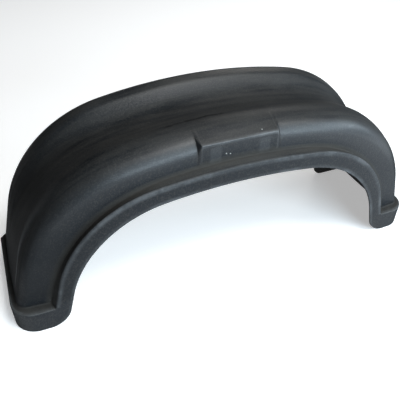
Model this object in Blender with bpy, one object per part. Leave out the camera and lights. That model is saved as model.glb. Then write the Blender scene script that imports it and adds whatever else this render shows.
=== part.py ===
"""Trailer mudguard: one moulded plastic shell, built at its real size.

The shell is a family of arches, one for each place across the width. Every arch is the same
sketch: a wide crown arc, a tighter haunch arc tangent to it, and a straight leg tangent to that.
The tops of the arches follow a section drawn through the crown, and their reach follows a
section drawn through the legs. The feet are a plan outline raised to the height of their ledge.

X runs along the wheel arch, Y from the outer side (towards -Y) to the trailer side, Z up.
The origin is on the ground, under the middle of the part. Sizes are in metres.
"""
import math

import bmesh
import bpy
import numpy as np

NAME = "mudguard"

# Overall
LENGTH = 0.740
WIDTH = 0.206
WALL = 0.0035

# Every leg leans in by this angle, in radians
LEG_LEAN = 0.270

# Bands round the wheel opening: their widths over the crown and along the ground
LIP_CROWN_WIDTH = 0.0272
LIP_LEG_WIDTH = 0.0247
LEDGE_WIDTH = 0.0058
SIDE_CROWN_WIDTH = 0.0337
SIDE_LEG_WIDTH = 0.0508

# Heights of the bands at the crown
OPENING_TOP = 0.2013
LIP_TOP = OPENING_TOP + LIP_CROWN_WIDTH
LEDGE_TOP = LIP_TOP + LEDGE_WIDTH
SHOULDER_TOP = LEDGE_TOP + SIDE_CROWN_WIDTH

# Reach of the bands along the ground. The legs would end a little beyond the feet there
LEG_OVERREACH = 0.0025
BODY_HALF = LENGTH / 2 + LEG_OVERREACH
LEDGE_HALF = BODY_HALF - SIDE_LEG_WIDTH
LIP_HALF = LEDGE_HALF - LEDGE_WIDTH
OPENING_HALF = LIP_HALF - LIP_LEG_WIDTH

# Arc radii along each arch, over the crown and at the haunches
OPENING_CROWN_RADIUS = 0.894
OPENING_HAUNCH_RADIUS = 0.1824
LIP_CROWN_RADIUS = 1.003
LIP_HAUNCH_RADIUS = 0.1868
LEDGE_CROWN_RADIUS = 0.828
LEDGE_HAUNCH_RADIUS = 0.2253
OUTER_CROWN_RADIUS = 0.910
OUTER_HAUNCH_RADIUS = 0.211
INNER_CROWN_RADIUS = 0.872
INNER_HAUNCH_RADIUS = 0.220

# Lip, and the ledge behind it that meets the side wall
LIP_EDGE_RADIUS = 0.0025
LEDGE_DEPTH = 0.015
LEDGE_FILLET = 0.003

# Section through the crown: distance from the outer face, height above the shoulder, fillet
SHOULDER_Y = 0.019
SHOULDER_RADIUS = 0.032
SHOULDER_PLAN_RADIUS = 0.030
OUTER_CREST_Y = 0.052
OUTER_CREST_RISE = 0.018
OUTER_CREST_RADIUS = 0.050
FLOOR_START_Y = 0.105
FLOOR_START_RISE = 0.0045
FLOOR_START_RADIUS = 0.070

# The same on the trailer side, with the distance measured from the trailer side
FLOOR_END_INSET = 0.064
FLOOR_END_RISE = 0.0017
FLOOR_END_RADIUS = 0.035
STEP_INSET = 0.038
STEP_RISE = 0.026
STEP_RADIUS = 0.018
INNER_CREST_INSET = 0.018
INNER_CREST_RISE = 0.031
INNER_CREST_RADIUS = 0.022
BACK_EDGE_RISE = 0.014
BACK_EDGE_RADIUS = 0.010

# How much the legs' reach varies across the section
BODY_EDGE_DROP = 0.001

# Opening in the trailer side, which stands clear of the outer one
BACK_OPENING_RISE = 0.0307
BACK_OPENING_REACH = 0.0108
BACK_OPENING_TOP = OPENING_TOP + BACK_OPENING_RISE
BACK_OPENING_HALF = OPENING_HALF + BACK_OPENING_REACH
BACK_CORNER_RADIUS = 0.020

# Feet: a plain skirt that stands out from the legs as a ledge
FOOT_HEIGHT = 0.040
FOOT_PLAN_RADIUS = 0.038
FOOT_CHAMFER = 0.010
FOOT_CORNER_RADIUS = 0.027

# Lamp pad on the outer shoulder
PAD_HALF = 0.062
PAD_DRAFT = 0.005
PAD_HEIGHT = 0.0327
PAD_TOP = LEDGE_TOP + PAD_HEIGHT
PAD_EDGE_RADIUS = 0.0025

# Facets: points on each fillet of the section, and rows along the arch
FILLET_POINTS = (1, 2, 2, 6, 4, 3, 4, 4, 4, 4, 1)
PAD_ROWS = 3
LEG_ROWS = 28
FOOT_ROWS = 8
FOOT_ROW_CROWDING = 1.6
LEAST_RADIUS = 0.0004
WELD_DISTANCE = 0.00001
SHARP_ANGLE = math.radians(32)

# Most of an edge that a fillet may take at either end
FILLET_SHARE = 0.49

# Share of an arch's height above which its points stand as the crown section has them
CROWN_SHARE = 0.86

# Colour of the plastic
PLASTIC_COLOUR = (0.030, 0.032, 0.035, 1.0)
PLASTIC_ROUGHNESS = 0.55


def clear_scene():
    for item in list(bpy.data.objects):
        bpy.data.objects.remove(item, do_unlink=True)


def plastic():
    material = bpy.data.materials.new("black_plastic")
    material.use_nodes = True
    shader = material.node_tree.nodes["Principled BSDF"]
    shader.inputs["Base Color"].default_value = PLASTIC_COLOUR
    shader.inputs["Roughness"].default_value = PLASTIC_ROUGHNESS
    shader.inputs["Metallic"].default_value = 0.0
    return material


def smooth_step(x):
    x = np.clip(x, 0.0, 1.0)
    return x * x * (3.0 - 2.0 * x)


def unit(v):
    return v / np.linalg.norm(v)


def parallel(corners, distance):
    """The same outline moved to its right by a distance, with its ends kept square."""
    corners = np.asarray(corners, float)
    along = np.diff(corners, axis=0)
    along = along / np.linalg.norm(along, axis=1, keepdims=True)
    side = np.stack([along[:, 1], -along[:, 0]], axis=1)
    moved = [corners[0] + side[0] * distance]
    for before, after, corner in zip(side[:-1], side[1:], corners[1:-1]):
        moved.append(corner + (before + after) * distance / (1.0 + before @ after))
    moved.append(corners[-1] + side[-1] * distance)
    return np.array(moved)


def turns_right(corners):
    """For each corner, whether the outline turns right there."""
    along = np.diff(corners, axis=0)
    cross = along[:-1, 0] * along[1:, 1] - along[:-1, 1] * along[1:, 0]
    return np.concatenate([[False], cross < 0.0, [False]])


def rounded(corners, radii):
    """The outline with an arc at each corner, each arc with its own fixed number of points."""
    points = [corners[0]]
    for k in range(1, len(corners) - 1):
        corner = corners[k]
        back = unit(corners[k - 1] - corner)
        on = unit(corners[k + 1] - corner)
        between = math.acos(np.clip(back @ on, -1.0, 1.0))
        shortest = min(np.linalg.norm(corners[k - 1] - corner), np.linalg.norm(corners[k + 1] - corner))
        reach = min(radii[k] / math.tan(between / 2), FILLET_SHARE * shortest)
        radius = reach * math.tan(between / 2)
        centre = corner + unit(back + on) * radius / math.sin(between / 2)
        start = corner + back * reach - centre
        end = corner + on * reach - centre
        swept = math.pi - between
        for part in np.linspace(0.0, 1.0, FILLET_POINTS[k]):
            blend = math.sin((1 - part) * swept) * start + math.sin(part * swept) * end
            points.append(centre + blend / math.sin(swept))
    points.append(corners[-1])
    return np.array(points)


def skin_outline(corners, radii, inset):
    """A rounded outline of the outside, or of the inside when it is set in by the wall."""
    outside = np.asarray(corners, float)
    inside = parallel(outside, inset)
    change = np.where(turns_right(outside), -inset, inset)
    return rounded(inside, np.maximum(np.asarray(radii) + change, LEAST_RADIUS))


def crown_corners(shoulder_y, shoulder_top):
    """Section through the crown, as distance from the outer face and height."""
    return [
        (0.0, OPENING_TOP),
        (0.0, LIP_TOP),
        (LEDGE_DEPTH, LEDGE_TOP),
        (shoulder_y, shoulder_top),
        (OUTER_CREST_Y, SHOULDER_TOP + OUTER_CREST_RISE),
        (FLOOR_START_Y, SHOULDER_TOP + FLOOR_START_RISE),
        (WIDTH - FLOOR_END_INSET, SHOULDER_TOP + FLOOR_END_RISE),
        (WIDTH - STEP_INSET, SHOULDER_TOP + STEP_RISE),
        (WIDTH - INNER_CREST_INSET, SHOULDER_TOP + INNER_CREST_RISE),
        (WIDTH, SHOULDER_TOP + BACK_EDGE_RISE),
        (WIDTH, BACK_OPENING_TOP),
    ]


def leg_corners():
    """Section through the legs at ground level, as distance from the outer face and reach."""
    return [
        (0.0, OPENING_HALF),
        (0.0, LIP_HALF),
        (LEDGE_DEPTH, LEDGE_HALF),
        (SHOULDER_Y, BODY_HALF - BODY_EDGE_DROP),
        (OUTER_CREST_Y, BODY_HALF),
        (FLOOR_START_Y, BODY_HALF + BODY_EDGE_DROP),
        (WIDTH - FLOOR_END_INSET, BODY_HALF + BODY_EDGE_DROP),
        (WIDTH - STEP_INSET, BODY_HALF + BODY_EDGE_DROP / 2),
        (WIDTH - INNER_CREST_INSET, BODY_HALF),
        (WIDTH, BODY_HALF - BODY_EDGE_DROP),
        (WIDTH, BACK_OPENING_HALF),
    ]


def fillet_radii(shoulder_radius):
    return [0.0, LIP_EDGE_RADIUS, LEDGE_FILLET, shoulder_radius, OUTER_CREST_RADIUS, FLOOR_START_RADIUS,
            FLOOR_END_RADIUS, STEP_RADIUS, INNER_CREST_RADIUS, BACK_EDGE_RADIUS, 0.0]


def first_point(corner):
    """Index of the first point that a corner of the section gives."""
    return sum(FILLET_POINTS[:corner])


def arch_radii(across, inset):
    """Crown radius and haunch radius of the arch at each point of the section."""
    share = smooth_step((across - OUTER_CREST_Y) / (WIDTH - INNER_CREST_INSET - OUTER_CREST_Y))
    crown = OUTER_CROWN_RADIUS + (INNER_CROWN_RADIUS - OUTER_CROWN_RADIUS) * share
    haunch = OUTER_HAUNCH_RADIUS + (INNER_HAUNCH_RADIUS - OUTER_HAUNCH_RADIUS) * share
    lip, ledge, shoulder = first_point(1), first_point(2), first_point(3)
    crown[:lip], haunch[:lip] = OPENING_CROWN_RADIUS, OPENING_HAUNCH_RADIUS
    crown[lip:ledge], haunch[lip:ledge] = LIP_CROWN_RADIUS, LIP_HAUNCH_RADIUS
    crown[ledge:shoulder], haunch[ledge:shoulder] = LEDGE_CROWN_RADIUS, LEDGE_HAUNCH_RADIUS
    crown[-1] = OPENING_CROWN_RADIUS + BACK_OPENING_TOP - OPENING_TOP
    haunch[-1] = OPENING_HAUNCH_RADIUS + BACK_OPENING_HALF - OPENING_HALF
    crown[1:-1] -= inset
    haunch[1:-1] -= inset
    return crown, haunch


def haunch_circle(half, top, crown, haunch):
    """Centre of the haunch circle and the turn at which the crown arc meets it.

    The circle touches the leg line through (half, 0) and the crown circle from within.
    """
    lean = LEG_LEAN
    low_x = half - haunch * np.cos(lean)
    low_z = -haunch * np.sin(lean)
    from_centre_z = low_z - (top - crown)
    along = low_x * np.sin(lean) - from_centre_z * np.cos(lean)
    gap = low_x ** 2 + from_centre_z ** 2 - (crown - haunch) ** 2
    rise = along + np.sqrt(along ** 2 - gap)
    centre_x = low_x - rise * np.sin(lean)
    centre_z = low_z + rise * np.cos(lean)
    return centre_x, centre_z, np.arctan2(centre_x, centre_z - (top - crown))


def arch_point(arch, run):
    """Point on an arch at a distance run down from its top: crown arc, haunch arc, leg."""
    half, top, crown, haunch = arch
    lean = LEG_LEAN
    centre_x, centre_z, turn = haunch_circle(*arch)
    crown_run = crown * turn
    haunch_run = haunch * (math.pi / 2 - lean - turn)
    on_crown = np.minimum(run, crown_run) / crown
    on_haunch = turn + np.clip(run - crown_run, 0.0, haunch_run) / haunch
    on_leg = np.maximum(run - crown_run - haunch_run, 0.0)
    past = run > crown_run
    x = np.where(past, centre_x + haunch * np.sin(on_haunch), crown * np.sin(on_crown))
    z = np.where(past, centre_z + haunch * np.cos(on_haunch), top - crown + crown * np.cos(on_crown))
    return x + on_leg * np.sin(lean), z - on_leg * np.cos(lean)


def run_to_height(arch, z):
    half, top, crown, haunch = arch
    lean = LEG_LEAN
    centre_x, centre_z, turn = haunch_circle(*arch)
    crown_run = crown * turn
    haunch_run = haunch * (math.pi / 2 - lean - turn)
    leg_top = centre_z + haunch * np.sin(lean)
    haunch_top = centre_z + haunch * np.cos(turn)
    on_crown = crown * np.arccos(np.clip((z - top + crown) / crown, -1.0, 1.0))
    on_haunch = crown_run + haunch * (np.arccos(np.clip((z - centre_z) / haunch, -1.0, 1.0)) - turn)
    on_leg = crown_run + haunch_run + (leg_top - z) / np.cos(lean)
    return np.where(z > haunch_top, on_crown, np.where(z > leg_top, on_haunch, on_leg))


def run_to_reach(arch, x):
    half, top, crown, haunch = arch
    lean = LEG_LEAN
    centre_x, centre_z, turn = haunch_circle(*arch)
    crown_run = crown * turn
    haunch_run = haunch * (math.pi / 2 - lean - turn)
    on_crown = crown * np.arcsin(np.clip(x / crown, 0.0, 1.0))
    on_haunch = crown_run + haunch * (np.arcsin(np.clip((x - centre_x) / haunch, 0.0, 1.0)) - turn)
    widest = centre_x + haunch * np.cos(lean)
    bent = np.where(x > widest, crown_run + haunch_run, on_haunch)
    return np.where(x > crown * np.sin(turn), bent, on_crown)


def opening_arch():
    return (OPENING_HALF, OPENING_TOP, OPENING_CROWN_RADIUS, OPENING_HAUNCH_RADIUS)


def row_runs(foot_top):
    """Rows down the opening's arch: across the lamp pad, its drafted end, then on to the ledge."""
    pad_reach = np.array([*np.linspace(0.0, PAD_HALF, PAD_ROWS + 1), PAD_HALF + PAD_DRAFT])
    pad_runs = run_to_reach(opening_arch(), pad_reach)
    foot_run = run_to_height(opening_arch(), foot_top)
    return np.concatenate([pad_runs, np.linspace(pad_runs[-1], foot_run, LEG_ROWS + 1)[1:]])


def body_rows(inset, foot_top):
    """Points of one half of the body, from the crown to the ledge of the foot."""
    crown_section = skin_outline(crown_corners(SHOULDER_Y, SHOULDER_TOP), fillet_radii(SHOULDER_RADIUS), inset)
    pad_section = skin_outline(crown_corners(LEDGE_DEPTH, PAD_TOP), fillet_radii(PAD_EDGE_RADIUS), inset)
    leg_section = skin_outline(leg_corners(), fillet_radii(SHOULDER_PLAN_RADIUS), inset)
    crown, haunch = arch_radii(leg_section[:, 0], inset)

    runs = row_runs(foot_top)
    guide_x, guide_z = arch_point(opening_arch(), runs)
    guide_x, guide_z = guide_x[:, None], guide_z[:, None]
    on_pad = np.where(guide_x <= PAD_HALF + LEAST_RADIUS, 1.0, 0.0)
    straighten = crown - np.sqrt(crown ** 2 - np.minimum(guide_x, PAD_HALF) ** 2)
    shoulder = np.zeros(len(crown))
    shoulder[first_point(3):first_point(4)] = 1.0
    top = crown_section[:, 1] * (1 - on_pad) + (pad_section[:, 1] + straighten * shoulder) * on_pad
    across = crown_section[:, 0] * (1 - on_pad) + pad_section[:, 0] * on_pad

    arch = (leg_section[:, 1], top, crown, haunch)
    share = smooth_step((runs[-1] - runs)[:, None] / (runs[-1] - runs[PAD_ROWS + 1]))
    run = (1 - share) * run_to_height(arch, np.minimum(guide_z, top)) + share * run_to_reach(arch, guide_x)
    x, z = arch_point(arch, run)
    climb = smooth_step(z / (top * CROWN_SHARE))
    y = leg_section[:, 0] * (1 - climb) + across * climb
    return np.stack([x, y, z], axis=-1)


def foot_outline(ledge_row, inset):
    """Plan outline of the foot, one point for each point of the body's lowest row."""
    end = LENGTH / 2 - inset
    front = inset
    radius = FOOT_PLAN_RADIUS - inset
    outline = ledge_row[:, :2].copy()
    shoulder, crest, back_edge = first_point(3), first_point(4), first_point(9)
    outline[:shoulder, 1] = front
    turn = np.linspace(0.0, math.pi / 2, FILLET_POINTS[3])
    outline[shoulder:crest, 0] = end - radius + radius * np.sin(turn)
    outline[shoulder:crest, 1] = front + radius - radius * np.cos(turn)
    outline[crest:back_edge, 0] = end
    straight_end = WIDTH - FOOT_CHAMFER - inset * math.tan(math.pi / 8)
    outline[crest:back_edge, 1] = np.linspace(FOOT_PLAN_RADIUS, straight_end, back_edge - crest + 1)[1:]
    steps = np.linspace(0.0, 1.0, FILLET_POINTS[9])[1:]
    cut = FOOT_CHAMFER - inset + inset * math.tan(math.pi / 8)
    outline[back_edge:-2, 0] = end - cut * steps
    outline[back_edge:-2, 1] = straight_end + (WIDTH - inset - straight_end) * steps
    return outline


def corner_cut(z, radius):
    """How far a rounded lower corner of an opening draws back at a height."""
    below = np.clip(radius - z, 0.0, radius)
    return radius - math.sqrt(radius ** 2 - below ** 2)


def foot_row(outline, z, inset):
    """The foot's outline at a height, with both openings' edges where they are there."""
    row = np.column_stack([outline, np.full(len(outline), z)])
    edge_x = float(arch_point(opening_arch(), run_to_height(opening_arch(), z))[0])
    edge_x += corner_cut(z, FOOT_CORNER_RADIUS)
    shoulder = first_point(3)
    share = (outline[:shoulder, 0] - outline[0, 0]) / (outline[shoulder, 0] - outline[0, 0])
    row[:shoulder, 0] = edge_x + share * (outline[shoulder, 0] - edge_x)
    row[-1, 0] = outline[-1, 0] + corner_cut(z, BACK_CORNER_RADIUS)
    return row


def half_skin(inset):
    """Rows of points from the crown to the ground, for the outside or the inside."""
    foot_top = FOOT_HEIGHT - inset
    body = body_rows(inset, foot_top)
    outline = foot_outline(body[-1], inset)
    heights = foot_top * np.linspace(1.0, 0.0, FOOT_ROWS + 1) ** FOOT_ROW_CROWDING
    foot = np.array([foot_row(outline, z, inset) for z in heights])
    return np.concatenate([body, foot])


def whole_skin(inset):
    """Both halves in one sheet, from the foot at -X over the crown to the foot at +X."""
    half = half_skin(inset)
    mirrored = half[:0:-1] * np.array([-1.0, 1.0, 1.0])
    return np.concatenate([mirrored, half]) - np.array([0.0, WIDTH / 2, 0.0])


def add_sheet(mesh, points, outward):
    rows = [[mesh.verts.new(point) for point in row] for row in points]
    for lower, upper in zip(rows[:-1], rows[1:]):
        for k in range(len(lower) - 1):
            face = (lower[k], upper[k], upper[k + 1], lower[k + 1])
            mesh.faces.new(face if outward else face[::-1])
    return rows


def add_rim(mesh, outer, inner):
    """Faces that close the wall along one edge of the two sheets."""
    for k in range(len(outer) - 1):
        mesh.faces.new((outer[k], outer[k + 1], inner[k + 1], inner[k]))


def shell_mesh():
    mesh = bmesh.new()
    outer = add_sheet(mesh, whole_skin(0.0), True)
    inner = add_sheet(mesh, whole_skin(WALL), False)
    add_rim(mesh, [row[0] for row in outer], [row[0] for row in inner])
    add_rim(mesh, [row[-1] for row in outer][::-1], [row[-1] for row in inner][::-1])
    add_rim(mesh, outer[0][::-1], inner[0][::-1])
    add_rim(mesh, outer[-1], inner[-1])
    bmesh.ops.remove_doubles(mesh, verts=mesh.verts, dist=WELD_DISTANCE)
    bmesh.ops.dissolve_degenerate(mesh, edges=mesh.edges, dist=WELD_DISTANCE)
    bmesh.ops.triangulate(mesh, faces=mesh.faces)
    bmesh.ops.recalc_face_normals(mesh, faces=mesh.faces)
    return mesh


def make_mudguard():
    data = bpy.data.meshes.new(NAME)
    mesh = shell_mesh()
    mesh.to_mesh(data)
    mesh.free()
    data.shade_smooth()
    data.set_sharp_from_angle(angle=SHARP_ANGLE)
    data.materials.append(plastic())
    mudguard = bpy.data.objects.new(NAME, data)
    bpy.context.scene.collection.objects.link(mudguard)
    return mudguard


clear_scene()
make_mudguard()
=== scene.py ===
"""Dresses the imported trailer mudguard: a finely moulded shell, its worn plastic and a pale studio.

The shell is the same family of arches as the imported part, with its edges softened and its arcs
drawn finely. Its overall size is read from the frame. Lengths are in metres, angles in radians.
X runs along the wheel arch, Y from the outer side to the trailer side, Z up. A station is a point
of the section across the arch, and a row is one such section.
"""
import math

import bmesh
import bpy
import numpy as np
from bpy.props import FloatProperty, FloatVectorProperty, IntProperty, PointerProperty
from bpy.types import Operator, Panel, PropertyGroup
from mathutils import Matrix, Vector


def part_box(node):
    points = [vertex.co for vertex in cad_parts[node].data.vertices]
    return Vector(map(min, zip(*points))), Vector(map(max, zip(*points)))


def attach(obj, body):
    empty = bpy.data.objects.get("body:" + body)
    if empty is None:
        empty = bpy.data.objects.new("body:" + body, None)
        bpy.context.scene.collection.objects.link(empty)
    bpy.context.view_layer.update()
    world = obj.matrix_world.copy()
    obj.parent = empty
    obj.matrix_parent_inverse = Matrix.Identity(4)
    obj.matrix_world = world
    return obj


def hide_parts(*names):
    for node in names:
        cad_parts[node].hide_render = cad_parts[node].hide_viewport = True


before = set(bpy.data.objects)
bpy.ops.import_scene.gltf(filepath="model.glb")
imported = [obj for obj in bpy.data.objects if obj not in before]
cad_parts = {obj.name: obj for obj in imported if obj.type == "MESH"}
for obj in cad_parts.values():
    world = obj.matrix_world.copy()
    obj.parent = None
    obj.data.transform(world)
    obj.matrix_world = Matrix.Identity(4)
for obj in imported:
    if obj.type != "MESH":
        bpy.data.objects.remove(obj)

bl_info = {
    "name": "Trailer mudguard",
    "version": (1, 0, 0),
    "blender": (4, 5, 0),
    "location": "3D View > Sidebar > Mudguard",
    "description": "Builds a moulded mudguard shell, its plastic and a small studio",
    "category": "Object",
}

NODE = "mudguard"

# Bends, in turns per metre of surface, that count as a full edge and a full hollow
EDGE_BEND = 260.0
HOLLOW_BEND = 180.0

# The bend from which the body's roundings are rubbed smooth, the stations over which the rubbing
# fades out, and the heights between which it fades in
POLISH_BEND = 16.0
POLISH_REACH = 3
POLISH_LOW, POLISH_HIGH = 0.130, 0.210

# Layer weights between which the grain's roughness at flat angles comes in
FLAT_FROM, FLAT_FULL = 0.40, 0.88

# The largest share of a straight stretch that one rounded corner takes
CORNER_SHARE = 0.49

# Points closer than this are one, and faces that meet at more than this angle keep a sharp edge
WELD = 0.00001
SHARP_ANGLE = math.radians(40)

# Pale chips in the plastic: two on the lamp pad and one at its upper edge
CHIPS = ((-0.0233, -0.0880, 0.2465), (-0.0167, -0.0880, 0.2450), (0.0368, -0.0805, 0.2706))


# Settings

def length(description, default):
    return FloatProperty(description=description, default=default, unit="LENGTH", precision=4)


def angle(description, default):
    return FloatProperty(description=description, default=default, unit="ROTATION")


def amount(description, default, low=0.0, high=1.0):
    return FloatProperty(description=description, default=default, min=low, max=high, precision=4)


def power(description, default):
    """A lamp's power in watts."""
    return amount(description, default, 0.0, 500.0)


def count(description, default):
    return IntProperty(description=description, default=default, min=1)


def colour(description, default):
    return FloatVectorProperty(description=description, default=default, size=3, subtype="COLOR")


def place(description, default):
    return FloatVectorProperty(description=description, default=default, size=3, subtype="XYZ")


class OpeningSettings(PropertyGroup):
    """The wheel opening, and the lip and ledge that run round it"""
    top: length("Height of the opening in the outer face", 0.2013)
    half: length("Half the opening's length at ground level", 0.2912)
    crown_radius: length("Radius of the wide arc over the opening", 0.894)
    haunch_radius: length("Radius of the tighter arc at each end", 0.1824)
    lip_top: length("Height of the lip's upper edge", 0.2285)
    lip_half: length("Reach of the lip's edge at ground level", 0.3159)
    lip_crown: length("Radius of the lip's wide arc", 1.003)
    lip_haunch: length("Radius of the lip's tighter arc", 0.1868)
    lip_round: length("Rounding of the lip's upper edge", 0.0030)
    ledge_depth: length("Distance of the side wall behind the outer face", 0.015)
    ledge_top: length("Height where the ledge meets the side wall", 0.2343)
    ledge_half: length("Reach of the ledge's root at ground level", 0.3217)
    ledge_crown: length("Radius of the ledge's wide arc", 0.828)
    ledge_haunch: length("Radius of the ledge's tighter arc", 0.2253)
    ledge_fillet: length("Hollow rounding at the ledge's root", 0.0035)
    back_top: length("Height of the opening in the trailer side", 0.232)
    back_half: length("Half length of the opening in the trailer side", 0.302)
    back_corner: length("Rounding of that opening's lower corners", 0.020)


class BodySettings(PropertyGroup):
    """The double-crested body, as a section through its crown and one through its legs"""
    wall: length("Thickness of the moulding", 0.0035)
    rim_round: length("Rounding of the moulding's open rims", 0.0007)
    half: length("Reach of the legs at ground level", 0.3725)
    lean: angle("Inward lean of all the legs", 0.270)
    outer_crown: length("Wide arc of the outer shoulder", 0.910)
    outer_haunch: length("Tighter arc of the outer shoulder", 0.211)
    inner_crown: length("Wide arc of the trailer side", 0.872)
    inner_haunch: length("Tighter arc of the trailer side", 0.220)
    edge_drop: length("How much the legs' edges draw in", 0.001)
    shoulder_y: length("Side wall's distance behind the outer face", 0.019)
    shoulder_top: length("Height of the shoulder's corner", 0.268)
    shoulder_round: length("Rounding of the shoulder", 0.032)
    shoulder_plan: length("Rounding of the shoulder at the feet", 0.030)
    crest_y: length("Distance of the outer crest's corner", 0.052)
    crest_top: length("Height of the outer crest's corner", 0.286)
    crest_round: length("Rounding of the outer crest", 0.050)
    floor_start_y: length("Distance where the trough's floor starts", 0.105)
    floor_start_top: length("Height where the trough's floor starts", 0.2725)
    floor_start_round: length("Rounding at the floor's start", 0.070)
    floor_end_y: length("Distance where the trough's floor ends", 0.142)
    floor_end_top: length("Height where the trough's floor ends", 0.2697)
    floor_end_round: length("Rounding at the floor's end", 0.035)
    rise_y: length("Distance of the top of the rise", 0.168)
    rise_top: length("Height of the top of the rise", 0.294)
    rise_round: length("Rounding at the top of the rise", 0.018)
    inner_crest_y: length("Distance of the inner crest's corner", 0.188)
    inner_crest_top: length("Height of the inner crest's corner", 0.299)
    inner_crest_round: length("Rounding of the inner crest", 0.022)
    back_edge_top: length("Height of the corner above the trailer side", 0.282)
    back_edge_round: length("Rounding of that corner", 0.010)


class FootSettings(PropertyGroup):
    """The feet, which stand out from the legs as a ledge"""
    height: length("Height of the ledge round each foot", 0.040)
    plan_round: length("Rounding of the foot's outer corner", 0.038)
    chamfer: length("Chamfer of the foot's corner at the trailer side", 0.010)
    corner: length("Rounding of the opening's lower corner", 0.027)
    edge_round: length("Rounding of the ledge's outer edge", 0.0020)
    root_round: length("Hollow rounding at the ledge's root", 0.0030)


class PadSettings(PropertyGroup):
    """The flat lamp pad on the outer shoulder"""
    half: length("Half the pad's length", 0.062)
    draft: length("Length of each sloping end", 0.005)
    top: length("Height of the pad's edge", 0.267)
    edge_round: length("Rounding of the pad's upper edge", 0.0022)
    ease: length("Rounding at the sloping ends", 0.0009)
    patch_place: length("Distance of each rubbed patch from the middle", 0.040)
    patch_half: length("Half the width of each rubbed patch", 0.0085)


class DetailSettings(PropertyGroup):
    """How finely the shell is drawn"""
    pad_rows: count("Rows over the lamp pad's flat half", 7)
    leg_rows: count("Rows from the pad down to the foot", 104)
    root_rows: count("Rows in the rounding above the ledge", 5)
    foot_rows: count("Rows down the side of the foot", 12)
    edge_rows: count("Rows in each small rounding of the foot", 5)
    crown_share: amount("Share of an arch's height from which the crown section holds", 0.86)


class PlasticSettings(PropertyGroup):
    """The worn charcoal plastic, with the light and shade painted on it"""
    base: colour("Colour of the plastic", (0.0066, 0.0084, 0.0110))
    dust: colour("Colour of the dust film on upward faces", (0.057, 0.054, 0.048))
    # Pale rubbed plastic, pale enough to also paint the highlight on the small edges and the crests
    # of the legs
    scuff: colour("Colour of rubbed and chalky plastic", (0.120, 0.126, 0.132))
    # Painted shade: the dark colour laid into the hollow corners, darkest along the dusty root of
    # the ledge
    grime: colour("Colour of the dirt in hollow corners", (0.012, 0.011, 0.010))
    # Dark colour of the road film; it also paints the shade on the legs and the dark reflection in
    # the trough
    film: colour("Colour of the road film and of the dirt in the trough", (0.005, 0.005, 0.005))
    chip: colour("Colour of the pale chips", (0.26, 0.26, 0.25))
    roughness: amount("Roughness of the clean plastic", 0.44)
    mottle_amount: amount("How much the plastic's colour varies", 0.18)
    mottle_roughness: amount("How much its roughness varies", 0.06)
    flat_roughness: amount("Roughness that the grain adds where it is seen at a flat angle", 0.45)
    dust_roughness: amount("Roughness that the dust adds", 0.30)
    # Roughness added in the hollow corners, together with the painted shade
    crease_shade_roughness: amount("Roughness that the dirt in hollow corners adds", 0.15)
    film_roughness: amount("Roughness that the road film adds", 0.45)
    shine: amount("Specular level of the plastic", 0.19)
    pit_dust: amount("Share of dust in the pits of the grain", 0.26)
    dust_amount: amount("How much dust lies on level faces", 0.35)
    # How strongly edges and marks are rubbed; on the edges this also paints their highlight
    scuff_and_highlight_amount: amount("How strongly edges and marks are rubbed", 0.45)
    patch_amount: amount("Strength of the patches on the lamp pad, as a share of that", 0.26)
    # Painted highlight along the crests on the legs, laid as pale rubbed lines
    line_and_highlight_amount: amount("How pale the crests are rubbed on the legs", 0.95)
    # How much shade is painted into the hollow corners
    crease_shade_amount: amount("How much dirt lies in hollow corners", 0.50)
    # How much road film and painted shade lie on the legs
    film_and_shade_amount: amount("How much matt road film lies on the legs", 0.85)
    polish: amount("Roughness that rubbing takes off the rounded edges", 0.08)
    sheen: amount("Strength of the waxy shine on the rounded edges", 0.50)
    sheen_roughness: amount("Roughness of that shine", 0.40)
    chip_size: length("Radius of each chip", 0.0013)
    grain: amount("Depth of the moulded grain", 0.22)
    grain_size: length("Size of the moulded grain", 0.0018)


class StudioSettings(PropertyGroup):
    """Camera, lamps and floor"""
    camera_place: place("Camera position", (-0.294545, -0.628076, 0.642040))
    camera_turn: angle("Camera's turn from the Y axis towards +X", 0.403546)
    camera_pitch: angle("How far the camera looks down", 0.675672)
    camera_roll: angle("Camera's roll", 0.019236)
    lens: amount("Focal length in millimetres for a 36 mm frame", 44.2437, 10.0, 200.0)
    floor_size: length("Half the floor's width", 2.2)
    floor_shade: amount("Colour of the floor, from black to white", 0.85)
    floor_glow: amount("What the floor adds where it is seen, so that it reads white", 0.42)
    world_level: amount("Brightness of the surroundings", 0.02, 0.0, 5.0)
    key_power: power("Power of the softbox at the right", 10.5)
    front_power: power("Power of the wide softbox in front", 53.0)
    upper_power: power("Power of the softbox above the front one", 18.0)
    low_power: power("Power of the low softbox at the front right", 5.0)
    high_power: power("Power of the softbox above the key", 8.5)
    slope_power: power("Power of the highest softbox in front", 26.0)
    top_power: power("Power of the overhead softbox", 8.0)
    back_power: power("Power of the softbox behind on the right", 7.0)


# Outlines

def smooth_step(x):
    """s(x) = 3 x^2 - 2 x^3 between 0 and 1."""
    x = np.clip(x, 0.0, 1.0)
    return x * x * (3.0 - 2.0 * x)


def parallel(corners, distance):
    """The outline moved to its right: each corner goes along the sum of its edges' normals a and b,
    by distance * (a + b) / (1 + a . b)."""
    along = np.diff(corners, axis=0)
    along = along / np.linalg.norm(along, axis=1, keepdims=True)
    side = np.stack([along[:, 1], -along[:, 0]], axis=1)
    inner = (side[:-1] + side[1:]) / (1.0 + (side[:-1] * side[1:]).sum(axis=1, keepdims=True))
    return corners + distance * np.concatenate([side[:1], inner, side[-1:]])


def turns_right(corners):
    along = np.diff(corners, axis=0)
    cross = along[:-1, 0] * along[1:, 1] - along[:-1, 1] * along[1:, 0]
    return np.concatenate([[False], cross < 0.0, [False]])


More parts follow.
